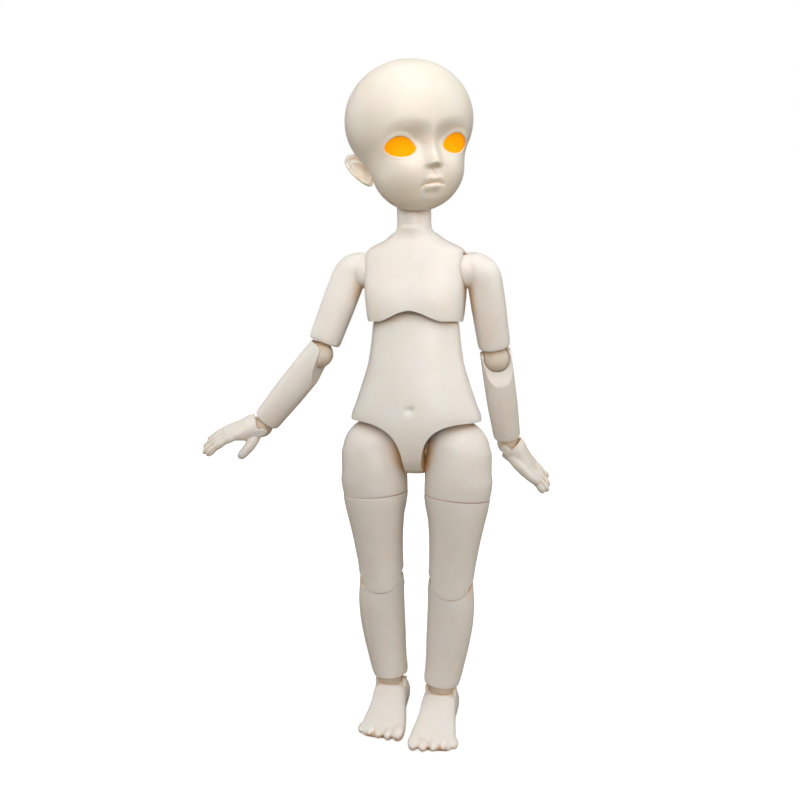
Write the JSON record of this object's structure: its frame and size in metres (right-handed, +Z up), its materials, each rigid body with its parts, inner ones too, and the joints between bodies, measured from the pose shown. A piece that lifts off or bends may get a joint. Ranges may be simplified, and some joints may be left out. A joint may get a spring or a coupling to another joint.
{
  "type": "ball-jointed doll",
  "caption": "Standing bald doll with pinned ball joints at waist, neck, shoulders, elbows, wrists, hips, knees and ankles, hollow split torso and a head with a magnetic back cap.",
  "frame": {"origin": "middle of the doll's bounding box on the floor under its feet", "axes": "+Z up, the doll's front faces -Y, its own left is +X"},
  "size_m": [0.152, 0.0796, 0.2822],
  "materials": {
    "body_plastic": "satin",
    "joint_plastic": "satin",
    "eye_plastic": "matte",
    "steel": "satin"
  },
  "bodies": {
    "pelvis": {"pelvis_front": "body_plastic", "pelvis_back": "body_plastic"},
    "waist": {"waist_ball": "joint_plastic"},
    "chest": {"chest_front": "body_plastic", "chest_back": "body_plastic", "waist_pin": "steel"},
    "neck": {"neck_ball": "joint_plastic"},
    "neck_ring_and_pin": {"neck_ring": "joint_plastic", "neck_pin": "steel"},
    "head": {"head_shell": "body_plastic", "left_head_magnet": "steel", "right_head_magnet": "steel", "left_eye_blank": "eye_plastic", "right_eye_blank": "eye_plastic", "ring_pin_front": "steel", "ring_pin_back": "steel"},
    "cap": {"head_cap": "body_plastic", "left_cap_magnet": "steel", "right_cap_magnet": "steel"},
    "left_shoulder": {"left_shoulder_hub": "joint_plastic"},
    "left_arm": {"left_upper_arm": "body_plastic", "left_shoulder_pin": "steel"},
    "left_elbow": {"left_elbow_ball": "joint_plastic"},
    "left_lower_arm": {"left_forearm": "body_plastic", "left_elbow_pin": "steel"},
    "left_wrist": {"left_wrist_ball": "joint_plastic"},
    "left_palm": {"left_hand": "body_plastic", "left_wrist_pin": "steel"},
    "left_hip": {"left_hip_ball": "joint_plastic"},
    "left_thigh": {"left_upper_thigh": "body_plastic", "left_hip_pin": "steel"},
    "left_knee": {"left_lower_thigh": "body_plastic"},
    "left_lower_leg": {"left_shin": "body_plastic", "left_knee_pin": "steel"},
    "left_ankle": {"left_ankle_ball": "joint_plastic"},
    "left_sole": {"left_foot": "body_plastic", "left_ankle_pin": "steel"},
    "right_shoulder": {"right_shoulder_hub": "joint_plastic"},
    "right_arm": {"right_upper_arm": "body_plastic", "right_shoulder_pin": "steel"},
    "right_elbow": {"right_elbow_ball": "joint_plastic"},
    "right_lower_arm": {"right_forearm": "body_plastic", "right_elbow_pin": "steel"},
    "right_wrist": {"right_wrist_ball": "joint_plastic"},
    "right_palm": {"right_hand": "body_plastic", "right_wrist_pin": "steel"},
    "right_hip": {"right_hip_ball": "joint_plastic"},
    "right_thigh": {"right_upper_thigh": "body_plastic", "right_hip_pin": "steel"},
    "right_knee": {"right_lower_thigh": "body_plastic"},
    "right_lower_leg": {"right_shin": "body_plastic", "right_knee_pin": "steel"},
    "right_ankle": {"right_ankle_ball": "joint_plastic"},
    "right_sole": {"right_foot": "body_plastic", "right_ankle_pin": "steel"}
  },
  "joints": [
    {"name": "waist_turn", "type": "hinge", "parent": "pelvis", "child": "waist", "pos_m": [0.02033, -0.00148, 0.18431], "axis": [0, 0, 1], "range_deg": [-7, 7]},
    {"name": "waist_bend", "type": "hinge", "parent": "waist", "child": "chest", "pos_m": [0.02033, -0.00148, 0.18431], "axis": [1, 0, 0], "range_deg": [-4, 6]},
    {"name": "head_turn", "type": "hinge", "parent": "chest", "child": "neck", "pos_m": [0.02033, -0.00548, 0.22751], "axis": [0, 0, 1], "range_deg": [-122, 58]},
    {"name": "head_nod", "type": "hinge", "parent": "neck", "child": "neck_ring_and_pin", "pos_m": [0.02033, -0.00548, 0.22751], "axis": [0.848, 0.5299, 0], "range_deg": [-7, 5]},
    {"name": "head_tilt", "type": "hinge", "parent": "neck_ring_and_pin", "child": "head", "pos_m": [0.02033, -0.00548, 0.22751], "axis": [-0.5299, 0.848, 0], "range_deg": [-2, 14]},
    {"name": "head_cap_off", "type": "slide", "parent": "head", "child": "cap", "axis": [-0.5427, 0.805, 0.2396], "range_m": [0, 0.025]},
    {"name": "left_shoulder_swing", "type": "hinge", "parent": "chest", "child": "left_shoulder", "pos_m": [0.04213, -0.00148, 0.19351], "axis": [-0.9945, -0.1045, 0], "range_deg": [-41.5, 138.5]},
    {"name": "left_shoulder_spread", "type": "hinge", "parent": "left_shoulder", "child": "left_arm", "pos_m": [0.04213, -0.00148, 0.19351], "axis": [0.0991, -0.9431, -0.3173], "range_deg": [-2, 44.5]},
    {"name": "left_elbow_swivel", "type": "hinge", "parent": "left_arm", "child": "left_elbow", "pos_m": [0.05384, 0.01278, 0.15479], "axis": [-0.0969, -0.3265, 0.9402], "range_deg": [-82, 88]},
    {"name": "left_elbow_bend", "type": "hinge", "parent": "left_elbow", "child": "left_lower_arm", "pos_m": [0.05384, 0.01278, 0.15479], "axis": [-0.9481, -0.2572, -0.187], "range_deg": [-19.7, 92.3]},
    {"name": "left_wrist_turn", "type": "hinge", "parent": "left_lower_arm", "child": "left_wrist", "pos_m": [0.05748, 0.02838, 0.11488], "axis": [-0.0847, -0.3627, 0.928], "range_deg": [-62.5, 117.5]},
    {"name": "left_wrist_bend", "type": "hinge", "parent": "left_wrist", "child": "left_palm", "pos_m": [0.05748, 0.02838, 0.11488], "axis": [-0.1659, -0.9132, -0.3721], "range_deg": [-90, 14]},
    {"name": "left_hip_swing", "type": "hinge", "parent": "pelvis", "child": "left_hip", "pos_m": [0.03933, -0.00148, 0.11531], "axis": [-1, 0, 0], "range_deg": [-21.3, 50.7]},
    {"name": "left_hip_spread", "type": "hinge", "parent": "left_hip", "child": "left_thigh", "pos_m": [0.03933, -0.00148, 0.11531], "axis": [0, -0.9997, 0.0227], "range_deg": [-0.4, 44.1]},
    {"name": "left_thigh_twist", "type": "hinge", "parent": "left_thigh", "child": "left_knee", "pos_m": [0.03933, -0.00148, 0.11531], "axis": [0.0715, 0.0226, 0.9972], "range_deg": [-1, 29.5]},
    {"name": "left_knee_bend", "type": "hinge", "parent": "left_knee", "child": "left_lower_leg", "pos_m": [0.03504, -0.00284, 0.05548], "axis": [0.9807, 0.1806, -0.0744], "range_deg": [0, 90]},
    {"name": "left_ankle_turn", "type": "hinge", "parent": "left_lower_leg", "child": "left_ankle", "pos_m": [0.03198, -0.0038, 0.0128], "axis": [0.0715, 0.0226, 0.9972], "range_deg": [-0.5, 32.5]},
    {"name": "left_ankle_bend", "type": "hinge", "parent": "left_ankle", "child": "left_sole", "pos_m": [0.03198, -0.0038, 0.0128], "axis": [-0.9986, -0.0523, 0], "range_deg": [-15, 15]},
    {"name": "right_shoulder_swing", "type": "hinge", "parent": "chest", "child": "right_shoulder", "pos_m": [-0.00147, -0.00148, 0.19351], "axis": [-0.9945, 0.1045, 0], "range_deg": [-65.5, 114.5]},
    {"name": "right_shoulder_spread", "type": "hinge", "parent": "right_shoulder", "child": "right_arm", "pos_m": [-0.00147, -0.00148, 0.19351], "axis": [0.104, 0.9899, -0.0958], "range_deg": [-14.6, 31.9]},
    {"name": "right_elbow_swivel", "type": "hinge", "parent": "right_arm", "child": "right_elbow", "pos_m": [-0.02346, -0.00273, 0.1567], "axis": [-0.3512, -0.0536, -0.9348], "range_deg": [-9, 161]},
    {"name": "right_elbow_bend", "type": "hinge", "parent": "right_elbow", "child": "right_lower_arm", "pos_m": [-0.02346, -0.00273, 0.1567], "axis": [-0.0878, -0.9921, 0.0899], "range_deg": [-2.5, 45.5]},
    {"name": "right_wrist_turn", "type": "hinge", "parent": "right_lower_arm", "child": "right_wrist", "pos_m": [-0.05107, -0.00327, 0.12374], "axis": [-0.6422, -0.0126, -0.7664], "range_deg": [-138, 42]},
    {"name": "right_wrist_bend", "type": "hinge", "parent": "right_wrist", "child": "right_palm", "pos_m": [-0.05107, -0.00327, 0.12374], "axis": [-0.4443, 0.8209, 0.3588], "range_deg": [-97, 7]},
    {"name": "right_hip_swing", "type": "hinge", "parent": "pelvis", "child": "right_hip", "pos_m": [0.00133, -0.00148, 0.11531], "axis": [-1, 0, 0], "range_deg": [-18.7, 53.3]},
    {"name": "right_hip_spread", "type": "hinge", "parent": "right_hip", "child": "right_thigh", "pos_m": [0.00133, -0.00148, 0.11531], "axis": [0, 0.9997, 0.0227], "range_deg": [-0.4, 44.1]},
    {"name": "right_thigh_twist", "type": "hinge", "parent": "right_thigh", "child": "right_knee", "pos_m": [0.00133, -0.00148, 0.11531], "axis": [0.0715, 0.0226, -0.9972], "range_deg": [-1, 50.5]},
    {"name": "right_knee_bend", "type": "hinge", "parent": "right_knee", "child": "right_lower_leg", "pos_m": [0.00562, -0.00012, 0.05548], "axis": [0.9807, 0.1806, 0.0744], "range_deg": [0, 90]},
    {"name": "right_ankle_turn", "type": "hinge", "parent": "right_lower_leg", "child": "right_ankle", "pos_m": [0.00868, 0.00085, 0.0128], "axis": [0.0715, 0.0226, -0.9972], "range_deg": [-0.5, 17.5]},
    {"name": "right_ankle_bend", "type": "hinge", "parent": "right_ankle", "child": "right_sole", "pos_m": [0.00868, 0.00085, 0.0128], "axis": [-0.9986, -0.0523, 0], "range_deg": [-15, 15]}
  ]
}
